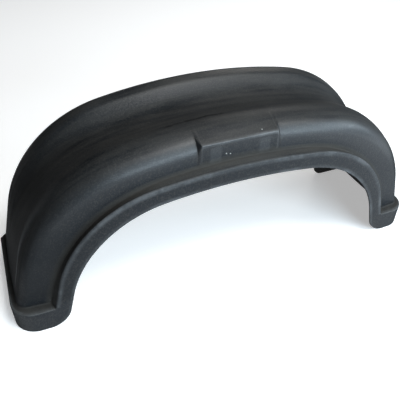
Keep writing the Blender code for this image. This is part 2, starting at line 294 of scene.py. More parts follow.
def rounded(corners, radii, counts):
    """The outline with an arc of a fixed number of points at each corner. The arc of radius r at a
    corner of inner angle g starts r / tan(g / 2) from it and turns through pi - g."""
    points = [corners[:1]]
    for k in range(1, len(corners) - 1):
        corner = corners[k]
        back = corners[k - 1] - corner
        on = corners[k + 1] - corner
        shortest = min(np.linalg.norm(back), np.linalg.norm(on))
        back = back / np.linalg.norm(back)
        on = on / np.linalg.norm(on)
        between = math.acos(np.clip(back @ on, -1.0, 1.0))
        reach = min(radii[k] / math.tan(between / 2), CORNER_SHARE * shortest)
        radius = reach * math.tan(between / 2)
        middle = (back + on) / np.linalg.norm(back + on)
        centre = corner + middle * radius / math.sin(between / 2)
        swept = math.pi - between
        share = np.linspace(0.0, 1.0, counts[k])[:, None]
        start, end = corner + back * reach - centre, corner + on * reach - centre
        points.append(centre + (np.sin((1 - share) * swept) * start + np.sin(share * swept) * end)
                      / math.sin(swept))
    points.append(corners[-1:])
    return np.concatenate(points)


class Arch:
    """A wide crown arc, a tighter haunch arc that carries it on, and a straight leaning leg. The
    sizes may be arrays, one value for each station. The haunch circle of radius k touches the leg
    line through (half, 0) and, from within, the crown circle of radius c, so its centre lies c - k
    from the crown circle's centre. Distances run down the arch from its top."""

    def __init__(self, half, top, crown, haunch, lean):
        self.top, self.crown, self.haunch, self.lean = top, crown, haunch, lean
        low_x = half - haunch * np.cos(lean)
        low_z = -haunch * np.sin(lean)
        drop = low_z - (top - crown)
        along = low_x * np.sin(lean) - drop * np.cos(lean)
        rise = along + np.sqrt(along ** 2 - low_x ** 2 - drop ** 2 + (crown - haunch) ** 2)
        self.centre_x = low_x - rise * np.sin(lean)
        self.centre_z = low_z + rise * np.cos(lean)
        self.turn = np.arctan2(self.centre_x, self.centre_z - (top - crown))
        self.crown_run = crown * self.turn
        self.leg_run = self.crown_run + haunch * (math.pi / 2 - lean - self.turn)

    def point(self, run):
        """Point at a distance: c (sin a, cos a) on the crown arc, then k (sin a, cos a) about the
        haunch centre, then straight down the leg."""
        on_crown = np.minimum(run, self.crown_run) / self.crown
        on_haunch = np.clip(run, self.crown_run, self.leg_run) - self.crown_run
        on_haunch = self.turn + on_haunch / self.haunch
        on_leg = np.maximum(run - self.leg_run, 0.0)
        past = run > self.crown_run
        x = np.where(past, self.centre_x + self.haunch * np.sin(on_haunch),
                     self.crown * np.sin(on_crown))
        z = np.where(past, self.centre_z + self.haunch * np.cos(on_haunch),
                     self.top - self.crown + self.crown * np.cos(on_crown))
        return x + on_leg * np.sin(self.lean), z - on_leg * np.cos(self.lean)

    def to_height(self, z):
        """Distance to a height: the inverse of point in z."""
        leg_top = self.centre_z + self.haunch * np.sin(self.lean)
        crown_turn = np.arccos(np.clip((z - self.top + self.crown) / self.crown, -1.0, 1.0))
        haunch_turn = np.arccos(np.clip((z - self.centre_z) / self.haunch, -1.0, 1.0))
        on_haunch = self.crown_run + self.haunch * (haunch_turn - self.turn)
        on_leg = self.leg_run + (leg_top - z) / np.cos(self.lean)
        above = z > self.centre_z + self.haunch * np.cos(self.turn)
        return np.where(above, self.crown * crown_turn, np.where(z > leg_top, on_haunch, on_leg))

    def to_reach(self, x):
        """Distance to a reach: the inverse of point in x, above the leg."""
        crown_turn = np.arcsin(np.clip(x / self.crown, 0.0, 1.0))
        haunch_turn = np.arcsin(np.clip((x - self.centre_x) / self.haunch, 0.0, 1.0))
        on_haunch = self.crown_run + self.haunch * (haunch_turn - self.turn)
        widest = self.centre_x + self.haunch * np.cos(self.lean)
        bent = np.where(x > widest, self.leg_run, on_haunch)
        return np.where(x > self.crown * np.sin(self.turn), bent, self.crown * crown_turn)


class Moulding:
    """Works out the points of the shell from the settings and the frame's size."""

    # Stations in each corner of the section, stations added between corners, and corner numbers
    POINTS = (1, 4, 8, 7, 20, 12, 9, 10, 12, 12, 9, 4, 1)
    BETWEEN = (0, 1, 2, 3, 2, 2, 2, 2, 2, 1, 3, 0)
    RIM, LIP, LEDGE, SHOULDER, CREST = 1, 2, 3, 4, 5
    INNER_CREST, BACK_EDGE, BACK_RIM = 9, 10, 11

    # Columns of section_corners: the height at the crown and the reach at the ground
    HEIGHT, REACH = 1, 2

    # Smallest radius of the inside, largest share of the ledge that a rounding takes, and how
    # much of the ledge's roundings the inside keeps
    LEAST_RADIUS = 0.0003
    ROUNDED_SHARE = 0.4
    INSIDE_ROUNDING = 0.2

    # How far above the ledge's hollow root the close rows start, in radii of that root, and the
    # power that draws the foot's rows together towards the ground
    ROOT_MARGIN = 1.1
    FOOT_SPACING = 1.6

    # Dust on the slope above the lip and on the foot's ledge, as a share of that at the root
    SLOPE_DUST, FOOT_DUST = 0.62, 0.7

    # Pale lines along the crests, rubbing and painted highlight both: half width in stations, then
    # the heights where they start and end, each with the height over which they fade
    LINE_REACH = 3.0
    LINE_FOOT, LINE_FOOT_FADE = 0.045, 0.04
    LINE_TOP, LINE_TOP_FADE = 0.235, 0.12

    def __init__(self, settings, size):
        self.opening = settings.opening
        self.body = settings.body
        self.foot = settings.foot
        self.pad = settings.pad
        self.detail = settings.detail
        self.length, self.width, self.height = size
        self.starts = np.concatenate([[0], np.cumsum(self.POINTS)])
        self.opening_arch = Arch(self.opening.half, self.opening.top, self.opening.crown_radius,
                                 self.opening.haunch_radius, self.body.lean)

    def section_corners(self, shoulder_y, shoulder_top, shoulder_round):
        """The corners of the section across the arch, each with its distance from the outer face,
        its height at the crown, its reach at the ground and its rounding."""
        o, b = self.opening, self.body
        low, high = b.half - b.edge_drop, b.half + b.edge_drop
        return np.array([
            (b.wall, o.top, o.half, 0.0),
            (0.0, o.top, o.half, b.rim_round),
            (0.0, o.lip_top, o.lip_half, o.lip_round),
            (o.ledge_depth, o.ledge_top, o.ledge_half, o.ledge_fillet),
            (shoulder_y, shoulder_top, low, shoulder_round),
            (b.crest_y, b.crest_top, b.half, b.crest_round),
            (b.floor_start_y, b.floor_start_top, high, b.floor_start_round),
            (b.floor_end_y, b.floor_end_top, high, b.floor_end_round),
            (b.rise_y, b.rise_top, (b.half + high) / 2, b.rise_round),
            (b.inner_crest_y, b.inner_crest_top, b.half, b.inner_crest_round),
            (self.width, b.back_edge_top, low, b.back_edge_round),
            (self.width, o.back_top, o.back_half, b.rim_round),
            (self.width - b.wall, o.back_top, o.back_half, 0.0),
        ])

    def skin_outline(self, column, shoulder, inset):
        """A rounded outline of the outside, or of the inside when inset is the wall. Both end at
        the same two points on the rims."""
        table = self.section_corners(*shoulder)
        corners, radii = table[:, [0, column]], table[:, -1]
        moved = corners.copy()
        change = np.where(turns_right(corners), -inset, inset)
        if inset > 0.0:
            moved[1:-1] = parallel(corners[1:-1], inset)
            moved[1] = corners[0]
            moved[-2] = corners[-1]
            return self.rounded_inside(moved, np.maximum(radii + change, self.LEAST_RADIUS))
        return rounded(moved, radii, self.POINTS)

    def rounded_inside(self, corners, radii):
        """As rounded, with the points of each rim's arc all on the rim's inner edge."""
        inner = rounded(corners[1:-1], radii[1:-1], self.POINTS[1:-1])
        ends = np.repeat(corners[:1], self.POINTS[0] + self.POINTS[1], axis=0)
        far_ends = np.repeat(corners[-1:], self.POINTS[-2] + self.POINTS[-1], axis=0)
        return np.concatenate([ends, inner[1:-1], far_ends])

    def group(self, first, last=None):
        """The stations of one corner, or of a run of corners."""
        return slice(self.starts[first], self.starts[(first if last is None else last) + 1])

    def arch_radii(self, across, inset):
        """Crown and haunch radius of each station's arch."""
        o, b = self.opening, self.body
        share = smooth_step((across - b.crest_y) / (b.inner_crest_y - b.crest_y))
        crown = b.outer_crown + (b.inner_crown - b.outer_crown) * share - inset
        haunch = b.outer_haunch + (b.inner_haunch - b.outer_haunch) * share - inset
        for stations, wide, tight in (
                (self.group(0, self.RIM), o.crown_radius, o.haunch_radius),
                (self.group(self.LIP), o.lip_crown - inset, o.lip_haunch - inset),
                (self.group(self.LEDGE), o.ledge_crown - inset, o.ledge_haunch - inset),
                (self.group(self.BACK_RIM, self.BACK_RIM + 1), o.crown_radius + o.back_top - o.top,
                 o.haunch_radius + o.back_half - o.half)):
            crown[stations], haunch[stations] = wide, tight
        return crown, haunch

    def row_runs(self, foot_top):
        """Distances down the opening's arch: across the pad and its eased ends, then evenly to just
        above the foot's ledge, then closely through the rounding there."""
        p, d = self.pad, self.detail
        ends = np.array([-1.0, -0.5, 0.0, 0.5, 1.0]) * p.ease
        reach = np.concatenate([np.linspace(0.0, p.half - 2 * p.ease, d.pad_rows),
                                p.half + ends, p.half + p.draft + ends])
        pad_runs = self.opening_arch.to_reach(reach)
        foot_run = self.opening_arch.to_height(foot_top)
        root = foot_run - self.foot.root_round * self.ROOT_MARGIN
        leg = np.linspace(pad_runs[-1], root, d.leg_rows + 1)[1:]
        return np.concatenate([pad_runs, leg, np.linspace(root, foot_run, d.root_rows + 1)[1:]])

    def pad_share(self, x):
        """1 on the pad and 0 past its sloping end, with both ends of the slope eased: within e of
        a corner at a the ramp is (x - a + e)^2 / 4 e."""
        p = self.pad

        def ramp(start):
            t = x - start
            eased = (t + p.ease) ** 2 / (4 * p.ease)
            return np.where(t > p.ease, t, np.where(t < -p.ease, 0.0, eased))
        return 1.0 - (ramp(p.half) - ramp(p.half + p.draft)) / p.draft

    def body_rows(self, inset, foot_top):
        """Points of half the body, from the crown to the ledge. Each row follows one point of the
        opening's arch, by reach near the crown and by height near the foot."""
        b, p = self.body, self.pad
        place = b.shoulder_y, b.shoulder_top
        on_pad = self.opening.ledge_depth, p.top, p.edge_round
        crown_section = self.skin_outline(self.HEIGHT, (*place, b.shoulder_round), inset)
        pad_section = self.skin_outline(self.HEIGHT, on_pad, inset)
        leg_section = self.skin_outline(self.REACH, (*place, b.shoulder_plan), inset)
        crown, haunch = self.arch_radii(leg_section[:, 0], inset)

        runs = self.row_runs(foot_top)
        guide_x, guide_z = self.opening_arch.point(runs)
        guide_x, guide_z = guide_x[:, None], guide_z[:, None]
        pad_share = self.pad_share(guide_x)
        straighten = crown - np.sqrt(crown ** 2 - np.minimum(guide_x, p.half) ** 2)
        shoulder = np.zeros(len(crown))
        shoulder[self.group(self.SHOULDER)] = 1.0
        pad_top = pad_section[:, 1] + straighten * shoulder
        top = crown_section[:, 1] * (1 - pad_share) + pad_top * pad_share
        across = crown_section[:, 0] * (1 - pad_share) + pad_section[:, 0] * pad_share

        arch = Arch(leg_section[:, 1], top, crown, haunch, b.lean)
        pad_end = self.opening_arch.to_reach(p.half + p.draft)
        share = smooth_step((runs[-1] - runs)[:, None] / (runs[-1] - pad_end))
        by_height, by_reach = arch.to_height(np.minimum(guide_z, top)), arch.to_reach(guide_x)
        run = (1 - share) * by_height + share * by_reach
        x, z = arch.point(run)
        climb = smooth_step(z / (top * self.detail.crown_share))
        y = leg_section[:, 0] * (1 - climb) + across * climb
        return np.stack([x, y, z], axis=-1)

    def foot_outline(self, ledge_row, inset):
        """Plan outline of the foot, one point for each station: the front face, a quarter circle,
        the flat end and the chamfer at the trailer side."""
        f = self.foot
        end = self.length / 2 - inset
        radius = f.plan_round - inset
        outline = ledge_row[:, :2].copy()
        shoulder, crest = self.starts[self.SHOULDER], self.starts[self.CREST]
        back_edge, back_rim = self.starts[self.BACK_EDGE], self.starts[self.BACK_RIM]
        outline[self.starts[self.LIP]:shoulder, 1] = inset
        turn = np.linspace(0.0, math.pi / 2, self.POINTS[self.SHOULDER])
        outline[shoulder:crest, 0] = end - radius + radius * np.sin(turn)
        outline[shoulder:crest, 1] = inset + radius - radius * np.cos(turn)
        bevel = inset * math.tan(math.pi / 8)
        straight_end = self.width - f.chamfer - bevel
        outline[crest:back_edge, 0] = end
        stations = back_edge - crest
        outline[crest:back_edge, 1] = np.linspace(f.plan_round, straight_end, stations + 1)[1:]
        steps = np.linspace(0.0, 1.0, self.POINTS[self.BACK_EDGE] + 1)[1:]
        outline[back_edge:back_rim, 0] = end - (f.chamfer - inset + bevel) * steps
        outline[back_edge:back_rim, 1] = straight_end + (self.width - inset - straight_end) * steps
        return outline

    @staticmethod
    def corner_cut(z, radius):
        """How far a rounded lower corner draws back at a height: r - sqrt(r^2 - (r - z)^2)."""
        below = np.clip(radius - z, 0.0, radius)
        return radius - np.sqrt(radius ** 2 - below ** 2)

    def foot_row(self, outline, z):
        """The foot's outline at a height. The front face stretches to meet the opening's edge."""
        f = self.foot
        row = np.column_stack([outline, np.full(len(outline), z)])
        arch = self.opening_arch
        edge = arch.point(arch.to_height(z))[0] + self.corner_cut(z, f.corner)
        at_top = arch.point(arch.to_height(f.height))[0]
        lip, shoulder = self.starts[self.LIP], self.starts[self.SHOULDER]
        row[:lip, 0] += edge - at_top
        root, end = row[lip - 1, 0], outline[shoulder, 0]
        share = (outline[lip:shoulder, 0] - outline[lip - 1, 0]) / (end - outline[lip - 1, 0])
        row[lip:shoulder, 0] = root + share * (end - root)
        row[self.starts[self.BACK_RIM]:, 0] += self.corner_cut(z, self.opening.back_corner)
        return row

    def ledge_rows(self, body, outline, foot_top, soften):
        """Rows across the ledge: its hollow root, its flat and its rounded edge. The roundings
        shrink to nothing where the ledge does."""
        f = self.foot
        outward = outline - body[-1, :, :2]
        reach = np.linalg.norm(outward, axis=1)
        outward = outward / np.maximum(reach, 1e-9)[:, None]
        root = np.minimum(f.root_round, self.ROUNDED_SHARE * reach) * soften
        edge = np.minimum(f.edge_round, self.ROUNDED_SHARE * reach) * soften
        below = np.clip(foot_top + root - body[..., 2], 0.0, root)
        swell = root - np.sqrt(root ** 2 - below ** 2)
        body = body.copy()
        body[..., :2] += swell[..., None] * outward
        rows = []
        for turn in np.linspace(0.0, math.pi / 2, self.detail.edge_rows):
            flat = outline - (edge * (1 - math.sin(turn)))[:, None] * outward
            rows.append(np.column_stack([flat, foot_top - edge * (1 - math.cos(turn))]))
        return body, np.array(rows)

    def half_skin(self, inset):
        """Rows from the crown to the ground, for the outside or the inside."""
        f, d = self.foot, self.detail
        outside = inset == 0.0
        foot_top = f.height - inset
        body = self.body_rows(inset, foot_top)
        outline = self.foot_outline(body[-1], inset)
        soften = 1.0 if outside else self.INSIDE_ROUNDING
        body, ledge = self.ledge_rows(body, outline, foot_top, soften)
        rim = self.body.rim_round if outside else 0.0
        spacing = np.linspace(1.0, 0.0, d.foot_rows) ** self.FOOT_SPACING
        heights = rim + (foot_top - f.edge_round - rim) * spacing
        foot = [self.foot_row(outline, z) for z in heights]
        for turn in np.linspace(0.0, math.pi / 2, d.edge_rows)[1:]:
            draw_in = rim * (1 - math.cos(turn))
            drawn_in = self.foot_outline(body[-1], inset + draw_in)
            foot.append(self.foot_row(drawn_in, rim * (1 - math.sin(turn))))
        return self.fill_spans(np.concatenate([body, ledge, np.array(foot)]))

    def fill_spans(self, rows):
        """Adds evenly spaced stations on the straight stretches between the rounded corners."""
        columns = []
        for k, extra in enumerate(self.BETWEEN):
            stop = self.starts[k + 1]
            columns.append(rows[:, self.starts[k]:stop])
            share = (np.arange(extra) + 1) / (extra + 1)
            before, after = rows[:, stop - 1:stop], rows[:, stop:stop + 1]
            columns.append(before + (after - before) * share[None, :, None])
        columns.append(rows[:, self.starts[len(self.BETWEEN)]:])
        return np.concatenate(columns, axis=1)

    def filled_start(self, corner):
        """Number of a corner's first station in the filled rows."""
        return self.starts[corner] + sum(self.BETWEEN[:corner])

    def filled_stop(self, corner):
        """Number of the station after a corner's last one in the filled rows."""
        return self.filled_start(corner) + self.POINTS[corner]

    def settled_dust(self, height):
        """How much dust has settled: on the ledge above the lip most at its root and less on its
        slope, and on the foot's ledge beyond the lip."""
        root = self.filled_start(self.LEDGE)
        share = np.zeros(height.shape)
        share[:, self.filled_stop(self.LIP):root] = self.SLOPE_DUST
        share[:, root:self.filled_stop(self.LEDGE)] = 1.0
        share *= height > self.foot.height
        on_foot = self.FOOT_DUST * (abs(height - self.foot.height) < self.foot.edge_round)
        on_foot[:, :self.filled_stop(self.LIP)] = 0.0
        return np.maximum(share, on_foot)

    def crest_lines_and_highlight(self, height):
        """Pale lines along the two crests where they run down the legs, rubbing and painted
        highlight
        both: a bell curve across the stations, faded in above the foot and out towards the crown."""
        station = np.arange(self.filled_start(len(self.POINTS)))
        lines = np.zeros(len(station))
        for corner in (self.CREST, self.INNER_CREST):
            middle = self.filled_start(corner) + self.POINTS[corner] / 2
            lines = np.maximum(lines, np.exp(-((station - middle) / self.LINE_REACH) ** 2))
        fade = smooth_step((height - self.LINE_FOOT) / self.LINE_FOOT_FADE)
        fade = fade * smooth_step((self.LINE_TOP - height) / self.LINE_TOP_FADE)
        return lines * fade

    def whole_skin(self, inset):
        """Both halves in one sheet, centred on the frame's origin."""
        half = self.half_skin(inset)
        mirrored = half[:0:-1] * np.array([-1.0, 1.0, 1.0])
        return np.concatenate([mirrored, half]) - np.array([0.0, self.width / 2, 0.0])


def bend(points):
    """How sharply the sheet bends at each point, per metre, as (sharpest, most hollow). Between
    neighbours p and q with unit normals m and n it bends by (n - m) . (q - p) / |q - p|^2, which is
    positive over an edge and negative in a hollow."""
    normal = np.cross(np.gradient(points, axis=0), np.gradient(points, axis=1))
    normal = normal / np.maximum(np.linalg.norm(normal, axis=-1, keepdims=True), 1e-12)
    sharpest, hollow = np.zeros(points.shape[:2]), np.zeros(points.shape[:2])
    for axis in (0, 1):
        step, turn = np.diff(points, axis=axis), np.diff(normal, axis=axis)
        space = (step ** 2).sum(axis=-1)
        rate = np.where(space > 1e-9, (turn * step).sum(axis=-1) / np.maximum(space, 1e-9), 0.0)
        ends = [(0, 0), (0, 0)]
        ends[axis] = (1, 1)
        padded = np.pad(rate, ends)
        for first in (0, 1):
            nearby = padded.take(np.arange(first, first + points.shape[axis]), axis=axis)
            sharpest = np.maximum(sharpest, nearby)
            hollow = np.minimum(hollow, nearby)
    return sharpest, hollow


def softened(values, reach):
    """The running mean across the section, over reach stations to each side."""
    padded = np.pad(values, ((0, 0), (reach, reach)), mode="edge")
    total = np.cumsum(np.pad(padded, ((0, 0), (1, 0))), axis=1)
    width = 2 * reach + 1
    return (total[:, width:] - total[:, :-width]) / width


def flow(points):
    """Metres along the arch from its top and metres across the section from the outer rim, both
    measured over the surface: the sums of the steps between points."""
    middle = points.shape[0] // 2
    crest = points.shape[1] // 2
    along = np.linalg.norm(np.diff(points[:, crest], axis=0), axis=1)
    across = np.linalg.norm(np.diff(points[middle], axis=0), axis=1)
    along = np.concatenate([[0.0], np.cumsum(along)])
    across = np.concatenate([[0.0], np.cumsum(across)])
    return np.stack(np.meshgrid(along - along[middle], across, indexing="ij"), axis=-1)


def write_value(mesh, name, values):
    mesh.attributes.new(name, "FLOAT", "POINT").data.foreach_set("value", values.astype(np.float32))


def write_flow(mesh, places):
    """UV map in metres, so that patterns can follow the arch."""
    corner_points = np.empty(len(mesh.loops), dtype=np.int32)
    mesh.loops.foreach_get("vertex_index", corner_points)
    layer = mesh.uv_layers.new(name="flow")
    layer.uv.foreach_set("vector", places[corner_points].astype(np.float32).ravel())


def sheet_faces(rows, columns, first, outward):
    """Quads of a grid of points numbered row by row from first."""
    index = first + np.arange(rows * columns).reshape(rows, columns)
    faces = np.stack([index[:-1, :-1], index[1:, :-1], index[1:, 1:], index[:-1, 1:]], axis=-1)
    faces = faces.reshape(-1, 4)
    return faces if outward else faces[:, ::-1]


def rim_faces(outer, inner):
    """Quads between two lines of point numbers."""
    return np.stack([outer[:-1], outer[1:], inner[1:], inner[:-1]], axis=-1)


def shell_mesh(name, moulding):
    """Outer and inner sheets, closed along the ground by level rims and welded at the openings."""
    outer, inner = moulding.whole_skin(0.0), moulding.whole_skin(moulding.body.wall)
    rows, columns = outer.shape[:2]
    step = rows * columns
    points = np.concatenate([outer.reshape(-1, 3), inner.reshape(-1, 3)])
    points[:, 2] *= moulding.height / points[:, 2].max()
    first, last = np.arange(columns), np.arange(columns) + step - columns
    faces = np.concatenate([
        sheet_faces(rows, columns, 0, True),
        sheet_faces(rows, columns, step, False),
        rim_faces(first[::-1], first[::-1] + step),
        rim_faces(last, last + step),
    ])
    mesh = bpy.data.meshes.new(name)
    mesh.from_pydata(points, [], faces.tolist())
    sharpest, hollow = bend(outer)
    height = outer[..., 2]
    polish = softened(np.clip((sharpest - POLISH_BEND) / POLISH_BEND, 0.0, 1.0), POLISH_REACH)
    polish *= smooth_step((height - POLISH_LOW) / (POLISH_HIGH - POLISH_LOW))
    polish[:, :moulding.filled_stop(moulding.LEDGE)] = 0.0
    for label, values in (("edge", np.clip(sharpest / EDGE_BEND, 0.0, 1.0)),
                          ("hollow", np.clip(-hollow / HOLLOW_BEND, 0.0, 1.0)),
                          ("line", moulding.crest_lines_and_highlight(height)),
                          ("settled", moulding.settled_dust(height)),
                          ("polish", polish)):
        write_value(mesh, label, np.concatenate([values.ravel(), np.zeros(step)]))
    write_flow(mesh, np.concatenate([flow(outer).reshape(-1, 2), flow(inner).reshape(-1, 2)]))
    work = bmesh.new()
    work.from_mesh(mesh)
    bmesh.ops.remove_doubles(work, verts=work.verts, dist=WELD)
    bmesh.ops.dissolve_degenerate(work, edges=work.edges, dist=WELD)
    bmesh.ops.recalc_face_normals(work, faces=work.faces)
    work.to_mesh(mesh)
    work.free()
    mesh.shade_smooth()
    mesh.set_sharp_from_angle(angle=SHARP_ANGLE)
    return mesh


# Materials

# Cells per metre of the patterns on the plastic. Those with three numbers have one for each axis
# and are drawn out along the axes with the smaller ones.
WAVE_CELLS, MOTTLE_CELLS, PIT_CELLS = 160.0, 14.0, 470.0
RUBBED_CELLS, SCRATCHED_CELLS, NICK_CELLS = 24.0, 22.0, 26.0
WIPED_CELLS, SCRATCH_CELLS = (9.0, 85.0, 1.0), (16.0, 420.0, 1.0)
WANDER_CELLS, STREAK_CELLS = (40.0, 8.0, 8.0), (90.0, 300.0, 90.0)

# What the waviness, the pebbles and the fine noise add to the grain's height
WAVE_HEIGHT, PEBBLE_HEIGHT, FINE_HEIGHT = 1.6, 0.5, 0.6

# Road film with painted shade, each pair from where there is none to where it is full: the height
# on the ends below the crown and above the foot, then the place along the arch and the height of
# the painted shade on the left leg's side
FILM_TOP, FILM_FOOT = (0.270, 0.170), (0.070, 0.130)
FILM_SHADE_SIDE, FILM_SHADE_SIDE_FOOT = (-0.14, -0.34), (0.040, 0.062)
FILM_SHADE_SIDE_SHARE = 0.60

# Rubbed patches, in pairs as above: shares of their half width, distances below the pad's upper
# edge at the top and at the bottom of a patch, and places across the arch
PATCH_BESIDE = (1.35, 0.75)
PATCH_TOP, PATCH_FOOT = (0.004, 0.009), (0.034, 0.027)
PATCH_FACE = (-0.080, -0.084)

# The share of a chip's radius that is fully pale
CHIP_CORE = 0.55

# The painted dark reflection in the trough, drawn as a streak: its middle along the arch, the line
# from which it wanders towards the outer side and how far, then its half length and half width in
# pairs as above
STREAK_X, STREAK_Y, STREAK_WANDER = -0.052, -0.0225, 0.018
STREAK_LENGTH, STREAK_WIDTH = (0.052, 0.038), (0.0050, 0.0010)


class Nodes:
    """A node tree, with short names for the nodes that the materials use."""

    def __init__(self, tree):
        self.tree = tree

    def fill(self, node, **inputs):
        """Links each input to a socket or sets it to a value. An input named i0, i1 and so on is
        found by its number, and any other by its name."""
        for key, value in inputs.items():
            index = int(key[1:]) if key[0] == "i" and key[1:].isdigit() else key.replace("_", " ")
            if isinstance(value, bpy.types.NodeSocket):
                self.tree.links.new(value, node.inputs[index])
            else:
                node.inputs[index].default_value = value

    def add(self, kind, settings=None, **inputs):
        """A node with its settings and inputs, as its outputs."""
        node = self.tree.nodes.new(kind)
        for key, value in (settings or {}).items():
            setattr(node, key, value)
        self.fill(node, **inputs)
        return node.outputs

    def math(self, operation, a, b=0.0, c=0.0):
        return self.add("ShaderNodeMath", {"operation": operation}, i0=a, i1=b, i2=c)[0]

    def times(self, first, *others):
        """The product of all the values."""
        for other in others:
            first = self.math("MULTIPLY", first, other)
        return first

    def scaled(self, value, factor, start):
        """start + factor * value."""
        return self.math("MULTIPLY_ADD", value, factor, start)

    def larger(self, a, b):
        return self.math("MAXIMUM", a, b)

    def size(self, value):
        return self.math("ABSOLUTE", value)

    def ramp(self, value, low, high):
        """0 at low and 1 at high, with smooth ends."""
        settings = {"interpolation_type": "SMOOTHSTEP"}
        return self.add("ShaderNodeMapRange", settings, Value=value, i1=low, i2=high)[0]

    def blend(self, share, first, second):
        return self.add("ShaderNodeMix", {"data_type": "RGBA"}, i0=share, i6=first, i7=second)[2]

    def noise(self, place, cells, detail=3.0, roughness=0.55):
        """Noise with one number of cells per metre, or with one for each axis."""
        if isinstance(cells, tuple):
            place, cells = self.add("ShaderNodeMapping", Vector=place, Scale=cells)[0], 1.0
        return self.add("ShaderNodeTexNoise", Vector=place, Scale=cells, Detail=detail,
                        Roughness=roughness)[0]

    def parts(self, vector):
        """The X, Y and Z of a vector."""
        return self.add("ShaderNodeSeparateXYZ", i0=vector)

    def normal(self):
        return self.add("ShaderNodeNewGeometry")["Normal"]

    def value_of(self, name):
        """A value that is written on the mesh."""
        return self.add("ShaderNodeAttribute", {"attribute_name": name})["Fac"]

    def use(self, group, **inputs):
        return self.add("ShaderNodeGroup", {"node_tree": group}, **inputs)


class Group(Nodes):
    """A shader node group. Its inputs are vectors and values, and its results are values."""

    def __init__(self, name, vectors, values, results):
        super().__init__(bpy.data.node_groups.new(name, "ShaderNodeTree"))
        for labels, side, kind in ((vectors, "INPUT", "NodeSocketVector"),
                                   (values, "INPUT", "NodeSocketFloat"),
                                   (results, "OUTPUT", "NodeSocketFloat")):
            for label in labels:
                self.tree.interface.new_socket(name=label, in_out=side, socket_type=kind)
        self.given = self.tree.nodes.new("NodeGroupInput").outputs
        self.results = self.tree.nodes.new("NodeGroupOutput").inputs

    def give(self, label, socket):
        self.tree.links.new(socket, self.results[label])


def new_material(name):
    """A material, its nodes and its surface shader."""
    material = bpy.data.materials.new(name)
    material.use_nodes = True
    return material, Nodes(material.node_tree), material.node_tree.nodes["Principled BSDF"]


def grain_group():
    """Moulded grain: a fine pebbled height on a slight waviness, a broad mottling from 0 to 1 and
    the pits of the grain that hold pale dust."""
    n = Group("moulded_grain", ["Place"], ["Size"], ["Height", "Mottle", "Pits"])
    place = n.given["Place"]
    scale = n.math("DIVIDE", 1.0, n.given["Size"])
    pebbles = n.add("ShaderNodeTexVoronoi", {"feature": "SMOOTH_F1"}, Vector=place, Scale=scale,
                    Smoothness=0.6)["Distance"]
    fine = n.noise(place, scale, detail=2.0, roughness=0.6)
    waves = n.noise(place, WAVE_CELLS, detail=2.0, roughness=0.5)
    height = n.scaled(pebbles, PEBBLE_HEIGHT, n.times(fine, FINE_HEIGHT))
    n.give("Height", n.scaled(waves, WAVE_HEIGHT, height))
    mottle = n.noise(place, MOTTLE_CELLS, detail=4.0, roughness=0.6)
    n.give("Mottle", n.ramp(mottle, 0.35, 0.68))
    n.give("Pits", n.ramp(n.noise(place, PIT_CELLS, detail=1.0, roughness=0.5), 0.46, 0.72))
    return n.tree


def dust_group():
    """Dust film: strongest where the surface looks up and where it has settled on the ledges, and
    wiped into streaks along the arch."""
    n = Group("dust_film", ["Flow"], ["Mottle", "Settled"], ["Mask"])
    level = n.ramp(n.parts(n.normal())[2], 0.25, 0.90)
    streaks = n.noise(n.given["Flow"], WIPED_CELLS, detail=4.0, roughness=0.62)
    wiped = n.ramp(streaks, 0.36, 0.60)
    patchy = n.scaled(n.given["Mottle"], 0.30, 0.10)
    film = n.times(level, n.scaled(wiped, 0.60, patchy))
    settled = n.times(n.scaled(wiped, 0.8, 1.6), n.given["Settled"])
    n.give("Mask", n.larger(film, settled))
    return n.tree


def film_and_shade_group():
    """Matt road film on the legs that also paints their shade, broken up by the mottling: strongest
    low down, where the surface faces along the arch. The left leg also carries it on its side, as
    painted shade that grows towards the left end."""
    n = Group("road_film", ["Place"], ["Mottle"], ["Mask"])
    along, _, height = n.parts(n.given["Place"])
    endways = n.ramp(n.size(n.parts(n.normal())[0]), 0.30, 0.72)
    ends = n.times(endways, n.ramp(height, *FILM_TOP), n.ramp(height, *FILM_FOOT))
    # Painted shade on the left leg's side, growing towards the left end
    behind = n.times(n.ramp(along, *FILM_SHADE_SIDE), n.ramp(height, *FILM_SHADE_SIDE_FOOT), FILM_SHADE_SIDE_SHARE)
    broken = n.scaled(n.given["Mottle"], 0.25, 0.75)
    n.give("Mask", n.times(n.larger(ends, behind), broken))
    return n.tree


def scuff_and_highlight_group():
    """Rubbed plastic with painted highlight. Mask: broken pale lines on the edges, which are rubbing
    and painted highlight both, thin scratches along the arch and small nicks. Lines: the pale lines
    along the crests, rubbing and painted highlight both, a little broken."""
    n = Group("rubbed_plastic", ["Place", "Flow"], ["Edge", "Line"], ["Mask", "Lines"])
    place = n.given["Place"]
    patches = n.ramp(n.noise(place, RUBBED_CELLS, detail=4.0, roughness=0.65), 0.44, 0.66)
    broken = n.scaled(patches, 0.65, 0.35)
    n.give("Lines", n.times(n.given["Line"], n.scaled(broken, 0.5, 0.5)))
    # Rubbed edges, which also paint the highlight on the small edges
    rubbed = n.times(n.ramp(n.given["Edge"], 0.45, 0.95), broken)
    fine_lines = n.noise(n.given["Flow"], SCRATCH_CELLS, detail=2.0, roughness=0.5)
    where = n.ramp(n.noise(place, SCRATCHED_CELLS, detail=2.0, roughness=0.5), 0.52, 0.70)
    scratch = n.times(n.ramp(fine_lines, 0.66, 0.76), where, 0.5)
    cells = n.add("ShaderNodeTexVoronoi", Vector=place, Scale=NICK_CELLS)
    rare = n.ramp(n.add("ShaderNodeSeparateColor", i0=cells["Color"])[0], 0.90, 0.96)
    nick = n.times(n.ramp(cells["Distance"], 0.050, 0.028), rare)
    n.give("Mask", n.larger(rubbed, n.larger(scratch, nick)))
    return n.tree


